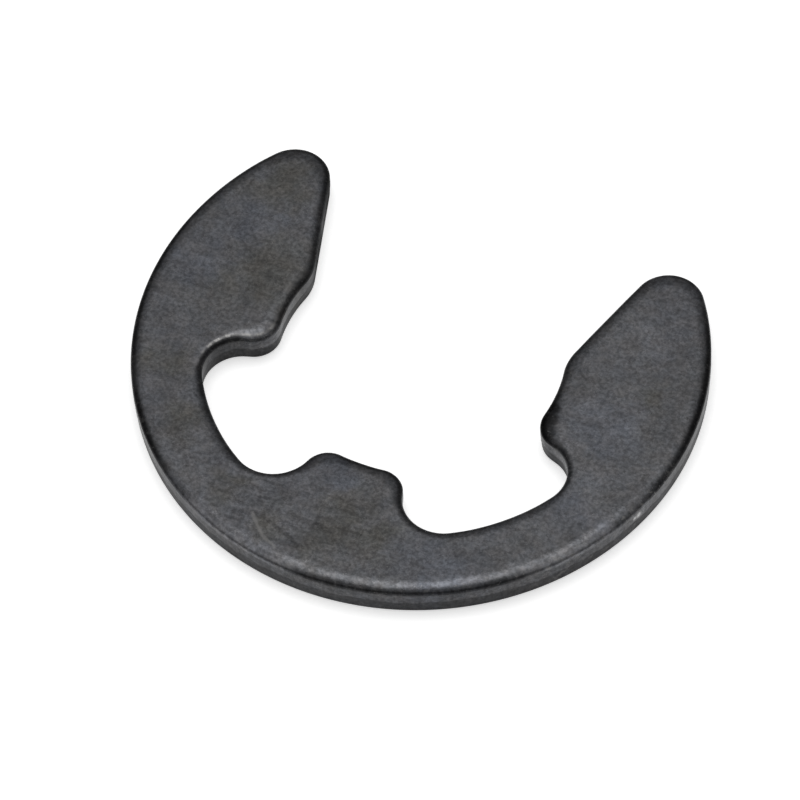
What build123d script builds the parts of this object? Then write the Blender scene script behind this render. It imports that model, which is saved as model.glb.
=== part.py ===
from build123d import *
import os

# E-clip for an 8 mm shaft groove: one flat retaining ring, stamped from spring steel strip.
#
# The clip lies on the XY plane. The origin is the centre of its seat, on the underside. +Z is
# the shaft's axis, and +Y points out of the mouth, which is how the clip slides onto the shaft.

# Driving dimensions, in millimetres and degrees. The ring is built outwards from its seat.
seat_diameter = 8.0  # circle that the three pads grip, at the bottom of the shaft's groove
pad_height = 2.05  # how far the tooth and the jaws stand in from the relief pockets
rim_width = 1.95  # spring section outside the pockets, which makes the clip 16 mm across
thickness = 1.0

tooth_angle = 17.7  # the middle tooth's pad, either side of the Y axis
heel_angle = 18.0  # each jaw's pad, from this far below the X axis
lip_angle = 18.0  # to this far above it
mouth_flare = 16.0  # each side of the mouth leans out from the Y axis

tip_radius = 1.0  # outer end of each jaw
lip_radius = 1.45  # where the mouth's side meets the jaw's pad
heel_radius = 0.8  # inner corner of each jaw
heel_root_radius = 1.05  # pocket's corner under the jaw
tooth_root_radius = 1.15  # pocket's corner beside the tooth
tooth_corner_radius = 0.7

punch_edge_radius = 0.2  # upper edge, drawn over by the punch
die_edge_radius = 0.12  # lower edge, tumbled smooth

# The two fillets on one side of a tooth or jaw take up at most this share of its height.
side_share = 0.93

seat_radius = seat_diameter / 2
relief_radius = seat_radius + pad_height
outer_radius = relief_radius + rim_width
pocket_angle = 90 - tooth_angle - heel_angle


def fit_on_side(corner_radius, root_radius):
    """The two fillets of one side, both made smaller if the side is too short for them."""
    fit = min(1, side_share * pad_height / (corner_radius + root_radius))
    return corner_radius * fit, root_radius * fit


with BuildPart() as e_clip:
    with BuildSketch() as outline:
        # The ring is turned so that both circles start inside the mouth, which is cut away.
        with Locations(Rotation(0, 0, 90)):
            Circle(outer_radius)
            Circle(seat_radius, mode=Mode.SUBTRACT)

        # Relief pockets, which leave the tooth and the two jaws standing in from the rim.
        for pocket_start in (tooth_angle - 90, heel_angle - 180):
            with BuildLine():
                floor = CenterArc((0, 0), relief_radius, pocket_start, pocket_angle)
                Polyline(floor @ 1, (0, 0), floor @ 0)
            make_face(mode=Mode.SUBTRACT)

        # Mouth, from lip to lip and out through the ring.
        with BuildLine():
            lip = Vector(seat_radius, 0).rotate(Axis.Z, lip_angle)
            outside = lip + Vector(0, 2 * outer_radius).rotate(Axis.Z, -mouth_flare)
            Polyline(lip, outside, (-outside.X, outside.Y), (-lip.X, lip.Y), close=True)
        make_face(mode=Mode.SUBTRACT)

        # The corners lie on three circles, and on each they are paired from the tooth upwards.
        pad_corners, pocket_corners, tips = outline.vertices().group_by(SortBy.DISTANCE)
        tooth_corners, heels, lips = pad_corners.group_by(Axis.Y)
        tooth_roots, heel_roots = pocket_corners.group_by(Axis.Y)
        tooth_corner_fit, tooth_root_fit = fit_on_side(tooth_corner_radius, tooth_root_radius)
        heel_fit, heel_root_fit = fit_on_side(heel_radius, heel_root_radius)

        # A fillet renews the outline's corners, so each pair is found again by its place.
        for corners, radius in (
            (tooth_corners, tooth_corner_fit),
            (tooth_roots, tooth_root_fit),
            (heels, heel_fit),
            (heel_roots, heel_root_fit),
            (lips, lip_radius),
            (tips, tip_radius),
        ):
            fillet([outline.vertices().sort_by_distance(corner)[0] for corner in corners], radius)

    extrude(amount=thickness)
    fillet(e_clip.faces().sort_by(Axis.Z)[-1].edges(), punch_edge_radius)
    fillet(e_clip.faces().sort_by(Axis.Z)[0].edges(), die_edge_radius)

e_clip.part.label = "e_clip"
os.makedirs("parts", exist_ok=True)
export_step(e_clip.part, "parts/e_clip.step")
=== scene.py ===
"""E-clip of blackened spring steel, lying flat on white paper under a soft overhead light.

Metres throughout, in the CAD model's frame: the clip lies on the XY plane, its seat is centred
on the Z axis, and its mouth opens along +Y. Marks and textures are placed in millimetres.
"""

from math import asin, ceil, cos, pi, radians, sin

import bpy
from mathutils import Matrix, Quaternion, Vector, noise
from mathutils.geometry import delaunay_2d_cdt


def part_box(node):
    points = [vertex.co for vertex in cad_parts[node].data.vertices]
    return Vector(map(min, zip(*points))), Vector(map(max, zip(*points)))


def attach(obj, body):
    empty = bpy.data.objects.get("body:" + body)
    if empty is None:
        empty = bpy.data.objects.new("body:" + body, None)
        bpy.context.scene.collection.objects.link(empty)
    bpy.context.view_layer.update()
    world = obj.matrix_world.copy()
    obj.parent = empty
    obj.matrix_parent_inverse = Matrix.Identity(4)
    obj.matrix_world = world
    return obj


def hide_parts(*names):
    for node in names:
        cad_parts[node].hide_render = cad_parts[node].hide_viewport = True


MM = 0.001

# The clip's outline, as in the CAD model. Its outside and thickness come from the frame.
SEAT_RADIUS = 4.0 * MM
RIM_WIDTH = 1.95 * MM
TOOTH_ANGLE = radians(17.7)
HEEL_ANGLE = radians(18.0)
LIP_ANGLE = radians(18.0)
MOUTH_FLARE = radians(16.0)
TIP_RADIUS = 1.0 * MM
LIP_RADIUS = 1.45 * MM
HEEL_RADIUS = 0.8 * MM
HEEL_ROOT_RADIUS = 1.05 * MM
TOOTH_ROOT_RADIUS = 1.15 * MM
TOOTH_CORNER_RADIUS = 0.7 * MM

# The stamped edge: drawn over at the upper face, burnished, torn, and tumbled at the underside.
ROLL_RADIUS = 0.75 * MM
SHOULDER_RADIUS = 0.12 * MM
SHOULDER_ANGLE = radians(25)
FRACTURE_TOP = 0.45 * MM
FRACTURE_INSET = 0.03 * MM
DIE_EDGE = 0.12 * MM
FLAT_MARGIN = 0.04 * MM

# How the edge varies along the outline: the roll-over widens with the outline's bend, averaged
# over a reach each way, and noise adds waves. A wave is a height, as a share, and a length.
ROLL_BEND = 0.45
ROLL_BEND_REACH = 0.5 * MM
ROLL_WAVES = ((0.08, 1.7 * MM),)
ROLL_WIDEST = 1.45
TEAR_WAVES = ((0.15, 1.1 * MM), (0.12, 0.3 * MM))
FRACTURE_GRAIN = 0.006 * MM
FRACTURE_WAVES = ((1.0, 0.16 * MM), (0.6, 0.35 * MM))
DRAG_DEPTH = 0.003 * MM
DRAG_WAVES = ((1.0, 0.12 * MM),)
DENT_DEPTH = 0.012 * MM
DENT_WAVES = ((1.0, 0.4 * MM), (0.4, 0.13 * MM))
DENT_START = 0.38
DENT_FULL = 0.9

# Where the material's masks fade: depths and insets in shoulder radii, heights in thicknesses.
SHOULDER_DEPTHS = (1.9, 1.3)
SHOULDER_INSETS = (0.5, 2.0)
WALL_HEIGHTS = (0.8, 0.95)
# How far out from the seat the walls count as inner walls, which get painted shade.
INNER_WALL_REACH = 2.3 * MM
MASKS = ("shoulder", "fracture", "wall", "inner_wall")

# How finely the mesh is divided. A gap of this share of a step counts as closed, and the face's
# points snap together within this many millimetres.
CLOSED_GAP = 0.01
FACE_SNAP = 1e-5
OUTLINE_STEP = 0.065 * MM
OUTLINE_TURN = radians(5)
FACE_GRID = 0.3 * MM
ROLL_ROWS = 7
SHOULDER_ROWS = 10
BURNISH_ROWS = 4
FRACTURE_ROWS = 7
DIE_ROWS = 6

# Places on the clip, in mm: the middle and the radius of each, at the height of the upper face
# unless another height is named.
BROWN_STAINS = (
    (-4.9, 0.5, 1.5),
    (-5.7, 3.6, 1.0),
    (-5.2, -4.8, 0.9),
    (-6.3, -3.1, 0.9),
    (0.3, -6.3, 1.1),
    (1.5, -6.2, 0.8),
    (0.4, -5.5, 0.8),
    (-1.5, -6.8, 0.6),
    (-2.9, -6.2, 0.6),
    (6.4, 1.2, 0.6),
)
BLUE_STAINS = (
    (-6.1, 2.2, 1.0),
    (-7.0, 0.4, 1.2),
    (5.7, -0.5, 1.4),
    (6.0, -3.3, 1.1),
    (3.4, -6.4, 1.3),
    (-0.3, -4.5, 0.6),
)
PALE_PLACES = ((5.6, -0.4, 1.8), (6.2, -2.6, 1.6), (5.4, 2.2, 1.5))
SCUFFED_PLACES = ((-2.2, -6.1, 1.3), (-0.9, -6.5, 1.2), (0.4, -5.7, 0.9))
RUBBED_PLACES = ((6.6, -4.6, 1.8), (7.6, -2.5, 1.6), (-3.9, -1.6, 0.9))
# Places where the shoulder's painted shade is left off.
EDGES_KEPT_UNSHADED = (
    (6.6, -4.6, 2.0),
    (7.6, -2.6, 0.9),
    (-3.9, -1.5, 1.0),
    (-1.4, -7.9, 1.2),
    (-2.7, -7.6, 2.0),
    (-3.9, -7.0, 1.5),
)
# Places where the shoulder is painted lighter: a painted highlight.
PAINTED_HIGHLIGHT_EDGES = ((6.6, -4.6, 1.6), (-1.2, -7.9, 1.2), (-2.8, -7.5, 1.5))
# Places where the shoulder gets more painted shade.
DEEP_SHADE_EDGES = (
    (-8.0, -0.5, 4.0),
    (-6.2, -5.0, 1.5),
    (-6.0, 5.2, 2.5),
    (-4.0, 5.0, 1.8),
    (8.0, 1.8, 3.0),
    (5.4, 5.9, 1.5),
    (4.1, -0.6, 0.9),
    (0.2, -4.0, 1.8),
)
BARE_EDGES = ((-5.2, -1.9, 0.8), (-4.4, -1.1, 0.7))
# Painted shade on the upper face in a corner beside the right heel.
PAINTED_SHADE_CORNERS = ((4.2, -1.15, 0.42), (4.16, -0.78, 0.36), (4.12, -0.4, 0.28))
# Places where the walls above the torn zone get a painted highlight.
PAINTED_HIGHLIGHT_WALLS = ((7.7, -2.2, 1.9), (4.9, -1.9, 1.0), (-4.0, -0.2, 1.5))
# Places where the walls get painted shade: darker colour, and rougher and less metallic too.
PAINTED_SHADE_WALLS = ((-4.7, 4.6, 2.2), (-4.0, 2.3, 1.0), (4.1, 0.2, 0.9))
NICKS = ((7.61, -2.54, 0.11), (7.56, -2.69, 0.08))

# Heights of those places, in mm, and where a spot starts and ends fading, in its radii.
UPPER_FACE = 1.0
WALL_MIDDLE = 0.5
NICK_HEIGHT = 0.66
SPOT_CORE = 0.2
SPOT_REACH = 1.3

# Straight marks on the upper face, in mm: where each starts and ends.
DARK_SCRATCHES = (
    (-2.9, -5.7, -0.9, -5.55),
    (-2.6, -6.2, -1.2, -6.05),
    (-1.75, -6.65, -0.9, -6.95),
    (-1.45, -6.75, -0.5, -7.15),
    (-1.0, -6.3, 0.1, -6.4),
    (-3.1, -6.35, -2.6, -6.4),
    (0.3, -6.25, 1.0, -6.2),
    (5.6, 3.7, 6.0, 3.45),
    (4.3, 1.05, 4.6, 0.8),
    (6.45, 0.1, 6.8, -0.15),
)
LIGHT_SCRATCHES = (
    (-2.06, -6.68, -1.88, -6.88),
    (-1.88, -6.88, -1.52, -7.23),
    (-1.52, -7.23, -1.05, -7.47),
)
SCRATCH_WIDTH = 0.09
SCUFF_ANGLE = radians(-6)
ROLLING_ANGLE = radians(-18)

# The coating's colours and stains, and the steel that shows where it is worn.
COATING_COLOURS = ((0.086, 0.087, 0.094, 1), (0.083, 0.0835, 0.0875, 1))
HUE_SHIFTS = ((1.02, 1.0, 0.98, 1), (0.98, 1.0, 1.02, 1))
BROWN = (0.0710, 0.0695, 0.0655, 1)
BROWN_SHARE = 0.85
BLUE = (0.081, 0.086, 0.100, 1)
BLUE_SHARE = 0.6
WORN_STEEL = (0.22, 0.215, 0.21, 1)
WORN_SHARE = 0.8
UNRUBBED_WEAR = 0.2
WALL_WEAR = 0.6
GLINT_WEAR = 0.35
SCRATCH_WEAR = 0.45
SHOULDER_CREST = 0.45
BRIGHT_STEEL = (0.7, 0.7, 0.7, 1)

# The noise textures stay mostly between these two values.
NOISE_LOW = 0.3
NOISE_HIGH = 0.7

# How it shines.
METALLIC = 0.6
SPECULAR_LEVEL = 0.15
SPECULAR_TINT = (0.75, 0.75, 0.75, 1)
ROUGHNESS = (0.23, 0.31)
TORN_ROUGHNESS = 0.14
PAINTED_SHADE_WALL_ROUGHNESS = 0.5
BUMP_DEPTH = 0.003 * MM

# The photograph's viewpoint, as seen from the middle of the clip.
VIEW_AZIMUTH = radians(26.65)
VIEW_ELEVATION = radians(55.4)
VIEW_ROLL = radians(-3.47)
VIEW_DISTANCE = 0.2474
LENS = 405.0
CLIP_START = 0.01

# The softbox overhead, and the room, which dims between two angles from its brightest part.
LIGHT_TILT = radians(10.5)
LAMP_WIDTH = 0.44
LAMP_DISTANCE = 0.9
LAMP_POWER = 1.8
ROOM_SHIFT = Vector((-0.048, -0.023, 0))
BRIGHT_TO = radians(23)
BRIGHT_STRENGTH = 1.12
DIM_FROM = radians(40)
DIM_STRENGTH = 0.2

# The paper's rings, each a radius and a height.
PAPER_RINGS = ((0.05, 0.0), (0.3, 0.0), (0.7, 0.0), (0.73, 0.006), (0.745, 0.02), (0.75, 0.055))
PAPER_SIDES = 64
PAPER_COLOUR = (0.8, 0.8, 0.8, 1)
WHITE = (1, 1, 1, 1)
LIFT_FOR_CAMERA = 0.6
LIFT_IN_MIRRORS = 0.4


# ---------------------------------------------------------------- outline


def polar(radius, angle):
    return Vector((radius * cos(angle), radius * sin(angle)))


def half_outline(outer_radius):
    """The clip's right half as arcs, counter-clockwise from the bottom of the rim to the tooth.

    Each arc is (centre, radius, first angle, last angle, side). Side is 1 where the metal is
    inside the arc's circle, and -1 where it is outside. Straight stretches join the arcs.
    """
    relief_radius = outer_radius - RIM_WIDTH
    mouth = pi / 2 - MOUTH_FLARE
    mouth_distance = SEAT_RADIUS * sin(mouth - LIP_ANGLE)
    jaw = -HEEL_ANGLE
    tooth = TOOTH_ANGLE - pi / 2
    middle = Vector((0, 0))

    def fillet(line_angle, line_distance, offset, reach):
        """Angle and centre of a circle that touches a line and a circle about the seat."""
        angle = line_angle - asin((line_distance + offset) / reach)
        return angle, polar(reach, angle)

    tip_at, tip = fillet(mouth, mouth_distance, TIP_RADIUS, outer_radius - TIP_RADIUS)
    lip_at, lip = fillet(mouth, mouth_distance, LIP_RADIUS, SEAT_RADIUS + LIP_RADIUS)
    heel_at, heel = fillet(jaw, 0, -HEEL_RADIUS, SEAT_RADIUS + HEEL_RADIUS)
    heel_root_at, heel_root = fillet(jaw, 0, HEEL_ROOT_RADIUS, relief_radius - HEEL_ROOT_RADIUS)
    tooth_root_at, tooth_root = fillet(
        tooth, 0, -TOOTH_ROOT_RADIUS, relief_radius - TOOTH_ROOT_RADIUS
    )
    corner_at, corner = fillet(tooth, 0, TOOTH_CORNER_RADIUS, SEAT_RADIUS + TOOTH_CORNER_RADIUS)
    across = pi / 2
    return [
        (middle, outer_radius, -across, tip_at, 1),
        (tip, TIP_RADIUS, tip_at, mouth + across, 1),
        (lip, LIP_RADIUS, mouth + across, lip_at + pi, 1),
        (middle, SEAT_RADIUS, lip_at, heel_at, -1),
        (heel, HEEL_RADIUS, heel_at + pi, jaw + 3 * across, 1),
        (heel_root, HEEL_ROOT_RADIUS, jaw + across, heel_root_at, -1),
        (middle, relief_radius, heel_root_at, tooth_root_at, -1),
        (tooth_root, TOOTH_ROOT_RADIUS, tooth_root_at, tooth - across, -1),
        (corner, TOOTH_CORNER_RADIUS, tooth + across, corner_at + pi, 1),
        (middle, SEAT_RADIUS, corner_at, -across, -1),
    ]


def outline(outer_radius):
    """Points round the whole clip, counter-clockwise, each with its outward normal and bend."""
    half = []
    for centre, radius, first, last, side in half_outline(outer_radius):
        turn = abs(last - first)
        start = centre + polar(radius, first)
        if half:
            end = half[-1][0]
            steps = ceil((start - end).length / OUTLINE_STEP - CLOSED_GAP)
            for i in range(1, steps):
                half.append((end.lerp(start, i / steps), polar(side, first), 0.0))
            if steps < 1:
                half.pop()
        steps = ceil(max(turn * radius / OUTLINE_STEP, turn / OUTLINE_TURN))
        for i in range(steps + 1):
            angle = first + (last - first) * i / steps
            half.append((centre + polar(radius, angle), polar(side, angle), side / radius))
    mirrored = [
        (Vector((-point.x, point.y)), Vector((-normal.x, normal.y)), bend)
        for point, normal, bend in reversed(half[1:-1])
    ]
    return half + mirrored


# ---------------------------------------------------------------- mesh


def ramp(value, low, high):
    """0 below low, 1 above high, and smooth between them."""
    t = min(1.0, max(0.0, (value - low) / (high - low)))
    return t * t * (3 - 2 * t)


def grain(point, size):
    """Smooth noise from -1 to 1 whose features are about this size."""
    return noise.noise(point / size)


def waves(place, parts):
    """Noise of several sizes: each part is a height and a length."""
    return sum(height * grain(place, length) for height, length in parts)


def roll_sizes(points):
    """How far the face is drawn over at each point: more round outer corners, and unevenly."""
    reach = round(ROLL_BEND_REACH / OUTLINE_STEP)
    count = len(points)
    sizes = []
    for i, (point, _, _) in enumerate(points):
        near = [points[(i + step) % count][2] for step in range(-reach, reach + 1)]
        bend = sum(near) / len(near)
        uneven = waves(point.to_3d(), ROLL_WAVES)
        sizes.append(min(ROLL_WIDEST, 1 + ROLL_BEND * bend * MM + uneven))
    return sizes


def edge_rows(thickness, roll, tear):
    """(inset, height, zone) up the stamped edge, from the flat underside to the flat top.

    Roll multiplies the roll-over's radius, and tear raises the torn zone's top by a share.
    """
    rows = [(FRACTURE_INSET + DIE_EDGE + FLAT_MARGIN, 0.0, "face")]
    for i in range(DIE_ROWS + 1):
        angle = pi / 2 * i / DIE_ROWS
        inset = FRACTURE_INSET + DIE_EDGE * (1 - sin(angle))
        rows.append((inset, DIE_EDGE * (1 - cos(angle)), "die"))
    fracture_top = FRACTURE_TOP * (1 + tear)
    for i in range(1, FRACTURE_ROWS + 1):
        rise = i / FRACTURE_ROWS
        inset = FRACTURE_INSET * (1 - rise)
        rows.append((inset, DIE_EDGE + (fracture_top - DIE_EDGE) * rise, "fracture"))
    radius = ROLL_RADIUS * roll
    width = radius * sin(SHOULDER_ANGLE) + SHOULDER_RADIUS * (1 - sin(SHOULDER_ANGLE))
    depth = radius * (1 - cos(SHOULDER_ANGLE)) + SHOULDER_RADIUS * cos(SHOULDER_ANGLE)
    burnish_top = thickness - depth
    for i in range(1, BURNISH_ROWS + 1):
        rise = i / BURNISH_ROWS
        rows.append((0.0, fracture_top + (burnish_top - fracture_top) * rise, "burnish"))
    for i in range(1, SHOULDER_ROWS + 1):
        tilt = pi / 2 + (SHOULDER_ANGLE - pi / 2) * i / SHOULDER_ROWS
        inset = SHOULDER_RADIUS * (1 - sin(tilt))
        rows.append((inset, burnish_top + SHOULDER_RADIUS * cos(tilt), "roll"))
    for i in range(1, ROLL_ROWS + 1):
        tilt = SHOULDER_ANGLE * (1 - i / ROLL_ROWS)
        rows.append((width - radius * sin(tilt), thickness - radius * (1 - cos(tilt)), "roll"))
    rows.append((width + FLAT_MARGIN, thickness, "face"))
    return rows


def edge_point(point, normal, row):
    """One vertex of the stamped edge, roughened inwards as its zone is."""
    inset, height, zone = row
    place = Vector((point.x, point.y, height))
    if zone == "fracture":
        rough = ramp(height, DIE_EDGE, 1.5 * DIE_EDGE)
        inset += FRACTURE_GRAIN * (1 + waves(place, FRACTURE_WAVES)) * rough
    elif zone == "burnish":
        inset += DRAG_DEPTH * (1 + waves(point.to_3d(), DRAG_WAVES))
    elif zone == "roll":
        dent = ramp(waves(place, DENT_WAVES), DENT_START, DENT_FULL)
        inset += DENT_DEPTH * dent * ramp(inset, 0, SHOULDER_RADIUS)
        height -= DENT_DEPTH / 2 * dent * ramp(inset, 0, SHOULDER_RADIUS)
    flat = point - normal * inset
    return Vector((flat.x, flat.y, height))


def edge_masks(point, row, thickness):
    """How far a vertex of the edge belongs to each of the MASKS, from 0 to 1."""
    inset, height, zone = row
    low, high = (thickness - depth * SHOULDER_RADIUS for depth in SHOULDER_DEPTHS)
    near, far = (reach * SHOULDER_RADIUS for reach in SHOULDER_INSETS)
    shoulder = ramp(height, low, high) * (1 - ramp(inset, near, far))
    fracture = 1.0 if zone in ("fracture", "die") else 0.0
    low, high = (share * thickness for share in WALL_HEIGHTS)
    wall = 1 - ramp(height, low, high) if inset < DIE_EDGE else 0.0
    inner_wall = wall if point.length < SEAT_RADIUS + INNER_WALL_REACH else 0.0
    return shoulder, fracture, wall, inner_wall


def fill_face(ring):
    """Points and triangles of a flat face inside a ring of points, on an even grid.

    The ring's own points come first. Worked in millimetres, which suits the triangulation.
    """
    low = Vector((min(p.x for p in ring), min(p.y for p in ring)))
    high = Vector((max(p.x for p in ring), max(p.y for p in ring)))
    grid = []
    for row in range(int((high.y - low.y) / FACE_GRID) + 1):
        for column in range(int((high.x - low.x) / FACE_GRID) + 2):
            x = low.x + (column - row % 2 / 2) * FACE_GRID
            grid.append(Vector((x, low.y + row * FACE_GRID)))
    count = len(ring)
    border = [(i, (i + 1) % count) for i in range(count)]
    points = [p / MM for p in ring + grid]
    inside_only = 1
    verts, _, faces, _, _, _ = delaunay_2d_cdt(
        points, border, [list(range(count))], inside_only, FACE_SNAP
    )
    return [v * MM for v in verts], faces


def clip_mesh(name, outer_radius, thickness):
    """The clip: rows of vertices up its stamped edge, closed by two flat faces."""
    points = outline(outer_radius)
    rolls = roll_sizes(points)
    count = len(points)
    columns = [
        edge_rows(thickness, roll, waves(point.to_3d(), TEAR_WAVES))
        for (point, _, _), roll in zip(points, rolls)
    ]
    row_count = len(columns[0])
    verts, faces, masks = [], [], []
    for r in range(row_count):
        for (point, normal, _), rows in zip(points, columns):
            verts.append(edge_point(point, normal, rows[r]))
            masks.append(edge_masks(point, rows[r], thickness))
    for r in range(row_count - 1):
        for i in range(count):
            j = (i + 1) % count
            faces.append((r * count + i, r * count + j, (r + 1) * count + j, (r + 1) * count + i))
    for r, height, turn in ((0, 0.0, -1), (row_count - 1, thickness, 1)):
        ring = [verts[r * count + i].xy for i in range(count)]
        filled, triangles = fill_face(ring)
        index = {i: r * count + i for i in range(count)}
        for triangle in triangles:
            for v in triangle:
                if v not in index:
                    index[v] = len(verts)
                    verts.append(Vector((filled[v].x, filled[v].y, height)))
                    masks.append((0.0,) * len(MASKS))
            faces.append([index[v] for v in triangle][::turn])
    mesh = bpy.data.meshes.new(name)
    mesh.from_pydata(verts, [], faces)
    for label, values in zip(MASKS, zip(*masks)):
        mesh.attributes.new(label, "FLOAT", "POINT").data.foreach_set("value", values)
    mesh.polygons.foreach_set("use_smooth", [True] * len(faces))
    mesh.update()
    clip = bpy.data.objects.new(name, mesh)
    bpy.context.scene.collection.objects.link(clip)
    return clip


# ---------------------------------------------------------------- materials


def add_node(tree, kind, inputs=(), **settings):
    """A shader node. Each input is a value, or a socket to link from."""
    made = tree.nodes.new(kind)
    for name, value in settings.items():
        setattr(made, name, value)
    for name, value in dict(inputs).items():
        if isinstance(value, bpy.types.NodeSocket):
            tree.links.new(value, made.inputs[name])
        else:
            made.inputs[name].default_value = value
    return made


def blackened_steel():
    """Spring steel under a thin satin black coating, clouded, stained and scratched, with painted
    shade and painted highlights on its edges and walls.
    """
    material = bpy.data.materials.new("blackened_spring_steel")
    material.use_nodes = True
    tree = material.node_tree
    tree.nodes.clear()

    def add(kind, inputs=(), **settings):
        return add_node(tree, kind, inputs, **settings)

    def math(operation, a, b=0.0):
        return add("ShaderNodeMath", {0: a, 1: b}, operation=operation).outputs[0]

    def vector(operation, inputs):
        made = add("ShaderNodeVectorMath", inputs, operation=operation)
        return made.outputs["Value" if operation in ("DISTANCE", "DOT_PRODUCT") else "Vector"]

    def remap(value, low, high, to_low=0.0, to_high=1.0):
        inputs = {"Value": value, "From Min": low, "From Max": high}
        inputs |= {"To Min": to_low, "To Max": to_high}
        return add("ShaderNodeMapRange", inputs, interpolation_type="SMOOTHSTEP").outputs[0]

    def spread(texture, low, high):
        """A noise texture drawn out to the whole of a range."""
        return remap(texture, NOISE_LOW, NOISE_HIGH, low, high)

    def cloud(place, per_mm, detail=2.0, roughness=0.5, distortion=0.0):
        inputs = {"Vector": place, "Scale": per_mm, "Detail": detail}
        inputs |= {"Roughness": roughness, "Distortion": distortion}
        return add("ShaderNodeTexNoise", inputs).outputs["Fac"]

    def blend(share, a, b):
        made = add("ShaderNodeMix", data_type="RGBA")
        for socket, value in zip((0, 6, 7), (share, a, b)):
            if isinstance(value, bpy.types.NodeSocket):
                tree.links.new(value, made.inputs[socket])
            else:
                made.inputs[socket].default_value = value
        return made.outputs[2]

    def spots(place, list_of_spots, height=UPPER_FACE):
        """1 in the middle of each (x, y, radius) spot, in mm, fading to 0 round it."""
        found = 0.0
        for x, y, radius in list_of_spots:
            away = vector("DISTANCE", {0: place, 1: (x, y, height)})
            spot = remap(away, SPOT_CORE * radius, SPOT_REACH * radius, 1.0, 0.0)
            found = math("MAXIMUM", found, spot)
        return found

    def scratches(place, list_of_scratches):
        """Up to 1 along each mark from (x, y) to (x, y), in mm, and 0 beside it."""
        found = 0.0
        unbroken = remap(cloud(place, 3.5, 2.0), 0.35, 0.55, 0.4, 1.0)
        for from_x, from_y, to_x, to_y in list_of_scratches:
            run = Vector((to_x - from_x, to_y - from_y, 0))
            offset = vector("SUBTRACT", {0: place, 1: (from_x, from_y, UPPER_FACE)})
            along = vector("DOT_PRODUCT", {0: offset, 1: run})
            share = math("DIVIDE", along, run.length_squared)
            share = math("MINIMUM", math("MAXIMUM", share, 0.0), 1.0)
            nearest = vector("SCALE", {0: run, "Scale": share})
            away = vector("DISTANCE", {0: offset, 1: nearest})
            mark = remap(away, SPOT_CORE * SCRATCH_WIDTH, SCRATCH_WIDTH, 1.0, 0.0)
            found = math("MAXIMUM", found, mark)
        return math("MULTIPLY", found, unbroken)

    def hairlines(place, per_mm, width):
        """Thin curved lines in patches: 1 on a line, and 0 beside it."""
        ridge = math("ABSOLUTE", math("SUBTRACT", cloud(place, per_mm, 2.0, 0.6, 0.8), 0.5))
        patch = remap(cloud(place, 0.6 * per_mm, 2.0), 0.5, 0.6)
        return math("MULTIPLY", patch, remap(ridge, 0.0, width, 1.0, 0.0))

    def streaks(place, turn, per_mm, stretch):
        """Noise drawn out into streaks along one direction of the face."""
        turned = add("ShaderNodeMapping", {"Vector": place, "Rotation": (0, 0, turn)})
        drawn = vector("MULTIPLY", {0: turned.outputs[0], 1: (1 / stretch, 1, 1)})
        return cloud(drawn, per_mm, 3.0, 0.6)

    place = add("ShaderNodeTexCoord").outputs["Object"]
    place = vector("SCALE", {0: place, "Scale": 1 / MM})
    wander = add("ShaderNodeTexNoise", {"Vector": place, "Scale": 0.9, "Detail": 3.0})
    wander = vector("SUBTRACT", {0: wander.outputs["Color"], 1: (0.5, 0.5, 0.5)})
    wander = vector("SCALE", {0: wander, "Scale": 2.2})
    wandered = vector("ADD", {0: place, 1: wander})
    slight = vector("SCALE", {0: wander, "Scale": 0.12})
    wavering = vector("ADD", {0: place, 1: slight})
    shoulder, fracture, wall, inner_wall = (
        add("ShaderNodeAttribute", attribute_name=label).outputs["Fac"] for label in MASKS
    )

    # The coating: blue-black, with brown and blue stains.
    brown = math("MULTIPLY", spots(wandered, BROWN_STAINS), BROWN_SHARE)
    blue = math("MULTIPLY", spots(wandered, BLUE_STAINS), BLUE_SHARE)
    cloudy = remap(cloud(place, 0.45, 4.0, 0.55, 0.4), 0.35, 0.65)
    colour = blend(cloudy, *COATING_COLOURS)
    colour = blend(brown, colour, BROWN)
    colour = blend(blue, colour, BLUE)
    hue = remap(cloud(place, 2.0, 3.0, 0.6), 0.35, 0.65)
    colour = vector("MULTIPLY", {0: colour, 1: blend(hue, *HUE_SHIFTS)})

    # Its shade: clouds and grain, and marks that multiply the colour by a factor. Among the marks
    # are painted shade and painted highlights on the edges and walls.
    # A painted highlight on the walls above the torn zone at listed places.
    painted_highlight_wall = math("SUBTRACT", wall, math("MULTIPLY", wall, fracture))
    painted_highlight_wall = math("MULTIPLY", painted_highlight_wall, spots(place, PAINTED_HIGHLIGHT_WALLS, WALL_MIDDLE))
    # Painted shade on the walls at listed places.
    painted_shade_wall = math("MULTIPLY", wall, spots(place, PAINTED_SHADE_WALLS, WALL_MIDDLE))
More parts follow.
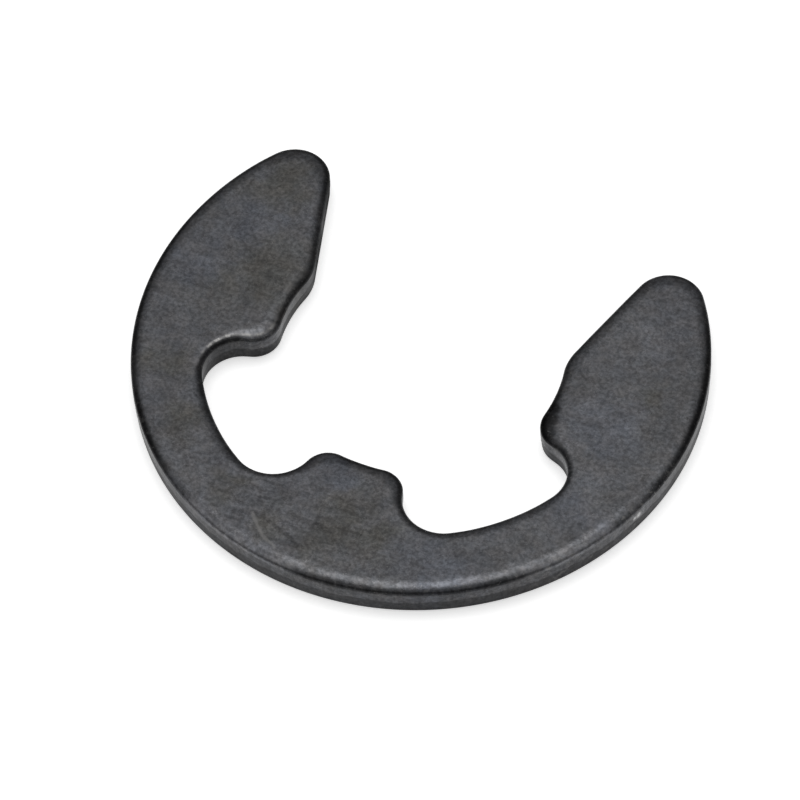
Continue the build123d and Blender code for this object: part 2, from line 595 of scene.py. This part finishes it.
    # Painted shade along the shoulder, except at a few listed places.
    painted_edge_shade = math("SUBTRACT", 1.0, spots(place, EDGES_KEPT_UNSHADED))
    painted_edge_shade = math("MULTIPLY", shoulder, painted_edge_shade)
    scuffs = remap(streaks(wavering, SCUFF_ANGLE, 5.0, 8.0), 0.35, 0.65, -0.2, 0.16)
    scuffed = math("MULTIPLY", scuffs, spots(wandered, SCUFFED_PLACES))
    shades = [
        spread(cloud(place, 1.3, 4.0, 0.6), 0.85, 1.15),
        spread(cloud(place, 5.0, 3.0, 0.7), 0.81, 1.19),
        spread(cloud(place, 10.0, 2.0, 0.6), 0.84, 1.16),
        spread(streaks(place, ROLLING_ANGLE, 4.0, 6.0), 0.95, 1.05),
        math("ADD", scuffed, 1.0),
        # Painted shade in a corner of the upper face.
        remap(spots(place, PAINTED_SHADE_CORNERS), 0.0, 0.8, 1.0, 0.3),
    ]
    marks = (
        (spots(wandered, PALE_PLACES), 1.12),
        (hairlines(place, 3.5, 0.025), 0.74),
        (scratches(wavering, DARK_SCRATCHES), 0.68),
        # Painted shade along the shoulder.
        (painted_edge_shade, 0.38),
        # More painted shade along the shoulder at listed places.
        (math("MULTIPLY", shoulder, spots(place, DEEP_SHADE_EDGES)), 0.4),
        # A painted highlight along the shoulder at listed places.
        (math("MULTIPLY", shoulder, spots(place, PAINTED_HIGHLIGHT_EDGES)), 1.9),
        # The walls lighter: partly burnished steel, partly a painted reflection.
        (wall, 1.22),
        # The torn zone darker: partly duller torn steel, partly painted shade near the paper.
        (fracture, 0.5),
        # Painted shade on the walls inside the clip, except where a painted highlight is.
        (math("SUBTRACT", inner_wall, painted_highlight_wall), 0.7),
        # A painted highlight on those walls.
        (painted_highlight_wall, 1.5),
        # Painted shade on those walls.
        (painted_shade_wall, 0.35),
    )
    shades += [remap(mark, 0.0, 1.0, 1.0, factor) for mark, factor in marks]
    shade = 1.0
    for part in shades:
        shade = math("MULTIPLY", shade, part)
    colour = vector("SCALE", {0: colour, "Scale": shade})

    # Vertical drag lines that the punch left down the wall.
    upright = vector("MULTIPLY", {0: place, 1: (1, 1, 0.06)})
    drag = math("MULTIPLY", wall, spread(cloud(upright, 9.0, 3.0, 0.7), -0.16, 0.16))
    colour = vector("SCALE", {0: colour, "Scale": math("ADD", drag, 1.0)})

    # Wear: steel shows in specks along the edges, in bright grains and scratches on the face,
    # along the shoulder where it is bare, and in the nicks.
    rubbed = math("MULTIPLY", spots(place, RUBBED_PLACES), 1 - UNRUBBED_WEAR)
    rubbed = math("ADD", rubbed, UNRUBBED_WEAR)
    speck = remap(cloud(place, 4.5, 5.0, 0.75), 0.53, 0.64)
    exposed = math("MAXIMUM", shoulder, math("MULTIPLY", wall, WALL_WEAR))
    worn = math("MULTIPLY", math("MULTIPLY", exposed, rubbed), speck)
    glint = remap(cloud(place, 13.0, 1.0), 0.70, 0.76)
    worn = math("MAXIMUM", worn, math("MULTIPLY", glint, GLINT_WEAR))
    scratched = scratches(wavering, LIGHT_SCRATCHES)
    worn = math("MAXIMUM", worn, math("MULTIPLY", scratched, SCRATCH_WEAR))
    crest = math("ABSOLUTE", math("SUBTRACT", shoulder, SHOULDER_CREST))
    crest = math("SUBTRACT", remap(crest, 0.1, SHOULDER_CREST, 1.0, 0.0), wall)
    patchy = remap(cloud(place, 5.0), 0.4, 0.6, 0.3, 1.0)
    bare = math("MULTIPLY", spots(place, BARE_EDGES), patchy)
    worn = math("MAXIMUM", worn, math("MULTIPLY", crest, bare))
    colour = blend(math("MULTIPLY", worn, WORN_SHARE), colour, WORN_STEEL)
    colour = blend(spots(place, NICKS, NICK_HEIGHT), colour, BRIGHT_STEEL)

    rough = spread(cloud(place, 0.8, 3.0, 0.6), *ROUGHNESS)
    rough = math("ADD", rough, math("MULTIPLY", fracture, TORN_ROUGHNESS))
    # Rougher where the walls carry painted shade.
    rough = math("ADD", rough, math("MULTIPLY", painted_shade_wall, PAINTED_SHADE_WALL_ROUGHNESS))

    # Relief too fine for the mesh: grain, soft unevenness, rolling streaks and the drag lines.
    height = 0.0
    for relief, share in (
        (cloud(place, 20.0, 3.0, 0.65), 0.7),
        (cloud(place, 4.0, 2.0), 0.8),
        (streaks(place, ROLLING_ANGLE, 9.0, 7.0), 0.2),
        (drag, 2.0),
    ):
        height = math("ADD", height, math("MULTIPLY", relief, share))
    bump = add("ShaderNodeBump", {"Height": height, "Distance": BUMP_DEPTH, "Strength": 1.0})

    # Less metallic where the walls carry painted shade.
    metallic = math("MULTIPLY", math("SUBTRACT", 1.0, painted_shade_wall), METALLIC)
    shader = add(
        "ShaderNodeBsdfPrincipled",
        {
            "Base Color": colour,
            "Metallic": metallic,
            "Roughness": rough,
            "Specular IOR Level": SPECULAR_LEVEL,
            "Specular Tint": SPECULAR_TINT,
            "Normal": bump.outputs[0],
        },
    )
    surface = add("ShaderNodeOutputMaterial")
    tree.links.new(shader.outputs[0], surface.inputs["Surface"])
    return material


def white_paper():
    """Matt white paper, lifted to a pure white where the camera or the metal sees it."""
    material = bpy.data.materials.new("white_paper")
    material.use_nodes = True
    tree = material.node_tree
    tree.nodes.clear()

    def math(operation, a, b):
        return add_node(tree, "ShaderNodeMath", {0: a, 1: b}, operation=operation).outputs[0]

    path = add_node(tree, "ShaderNodeLightPath").outputs
    mirrored = math("MAXIMUM", path["Is Glossy Ray"], path["Is Transmission Ray"])
    lift = math(
        "MAXIMUM",
        math("MULTIPLY", path["Is Camera Ray"], LIFT_FOR_CAMERA),
        math("MULTIPLY", mirrored, LIFT_IN_MIRRORS),
    )
    matt = add_node(tree, "ShaderNodeBsdfDiffuse", {"Color": PAPER_COLOUR})
    glow = add_node(tree, "ShaderNodeEmission", {"Color": WHITE, "Strength": lift})
    both = add_node(tree, "ShaderNodeAddShader", {0: matt.outputs[0], 1: glow.outputs[0]})
    surface = add_node(tree, "ShaderNodeOutputMaterial")
    tree.links.new(both.outputs[0], surface.inputs["Surface"])
    return material


# ---------------------------------------------------------------- studio


def paper_sweep(low):
    """A sheet of paper under the clip, turned up into a low wall all round."""
    mesh = bpy.data.meshes.new("paper")
    verts = [Vector((0, 0, low))]
    for radius, height in PAPER_RINGS:
        for i in range(PAPER_SIDES):
            around = polar(radius, 2 * pi * i / PAPER_SIDES)
            verts.append(Vector((around.x, around.y, low + height)))
    faces = [(0, 1 + i, 1 + (i + 1) % PAPER_SIDES) for i in range(PAPER_SIDES)]
    for r in range(len(PAPER_RINGS) - 1):
        inner = 1 + r * PAPER_SIDES
        outer = inner + PAPER_SIDES
        for i in range(PAPER_SIDES):
            j = (i + 1) % PAPER_SIDES
            faces.append((inner + i, outer + i, outer + j, inner + j))
    mesh.from_pydata(verts, [], faces)
    mesh.polygons.foreach_set("use_smooth", [True] * len(faces))
    paper = bpy.data.objects.new("paper", mesh)
    bpy.context.scene.collection.objects.link(paper)
    paper.data.materials.append(white_paper())


def soft_light():
    """A round softbox overhead, a little behind the clip, in a room that dims away from it."""
    behind = Vector((-sin(VIEW_AZIMUTH), cos(VIEW_AZIMUTH), 0)) * sin(LIGHT_TILT)
    above = behind + Vector((0, 0, cos(LIGHT_TILT)))
    lamp = bpy.data.lights.new("softbox", "AREA")
    lamp.shape = "DISK"
    lamp.size = LAMP_WIDTH
    lamp.energy = LAMP_POWER
    box = bpy.data.objects.new("softbox", lamp)
    box.location = above * LAMP_DISTANCE
    box.rotation_euler = above.to_track_quat("Z", "Y").to_euler()
    bpy.context.scene.collection.objects.link(box)

    world = bpy.data.worlds.new("studio")
    world.use_nodes = True
    tree = world.node_tree
    tree.nodes.clear()
    direction = add_node(tree, "ShaderNodeTexCoord").outputs["Generated"]
    brightest = (above + ROOM_SHIFT).normalized()
    near = add_node(
        tree, "ShaderNodeVectorMath", {0: direction, 1: brightest}, operation="DOT_PRODUCT"
    )
    strength = add_node(
        tree,
        "ShaderNodeMapRange",
        {
            "Value": near.outputs["Value"],
            "From Min": cos(DIM_FROM),
            "From Max": cos(BRIGHT_TO),
            "To Min": DIM_STRENGTH,
            "To Max": BRIGHT_STRENGTH,
        },
        interpolation_type="SMOOTHSTEP",
    )
    background = add_node(
        tree, "ShaderNodeBackground", {"Color": WHITE, "Strength": strength.outputs[0]}
    )
    surface = add_node(tree, "ShaderNodeOutputWorld")
    tree.links.new(background.outputs[0], surface.inputs["Surface"])
    bpy.context.scene.world = world


def camera_at(target):
    """The photograph's camera, turned so that the clip is in the middle of the picture."""
    away = Vector(
        (
            sin(VIEW_AZIMUTH) * cos(VIEW_ELEVATION),
            -cos(VIEW_AZIMUTH) * cos(VIEW_ELEVATION),
            sin(VIEW_ELEVATION),
        )
    )
    data = bpy.data.cameras.new("camera")
    data.lens = LENS
    data.clip_start = CLIP_START
    camera = bpy.data.objects.new("camera", data)
    camera.location = target + away * VIEW_DISTANCE
    camera.rotation_mode = "QUATERNION"
    level = away.to_track_quat("Z", "Y")
    camera.rotation_quaternion = level @ Quaternion((0, 0, 1), VIEW_ROLL)
    bpy.context.scene.collection.objects.link(camera)
    bpy.context.scene.camera = camera


# ---------------------------------------------------------------- scene

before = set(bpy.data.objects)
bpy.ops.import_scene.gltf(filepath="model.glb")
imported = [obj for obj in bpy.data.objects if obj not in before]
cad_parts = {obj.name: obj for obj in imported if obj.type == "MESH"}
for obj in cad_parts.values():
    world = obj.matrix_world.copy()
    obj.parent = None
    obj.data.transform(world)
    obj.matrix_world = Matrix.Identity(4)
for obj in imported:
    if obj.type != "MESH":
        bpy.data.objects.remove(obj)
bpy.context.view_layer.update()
low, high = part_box("e_clip")

clip = clip_mesh("blackened_clip", high.x, high.z - low.z)
clip.data.materials.append(blackened_steel())
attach(clip, "root")
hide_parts("e_clip")

paper_sweep(low.z)
soft_light()
camera_at((low + high) / 2)

bpy.context.scene.view_settings.view_transform = "Standard"
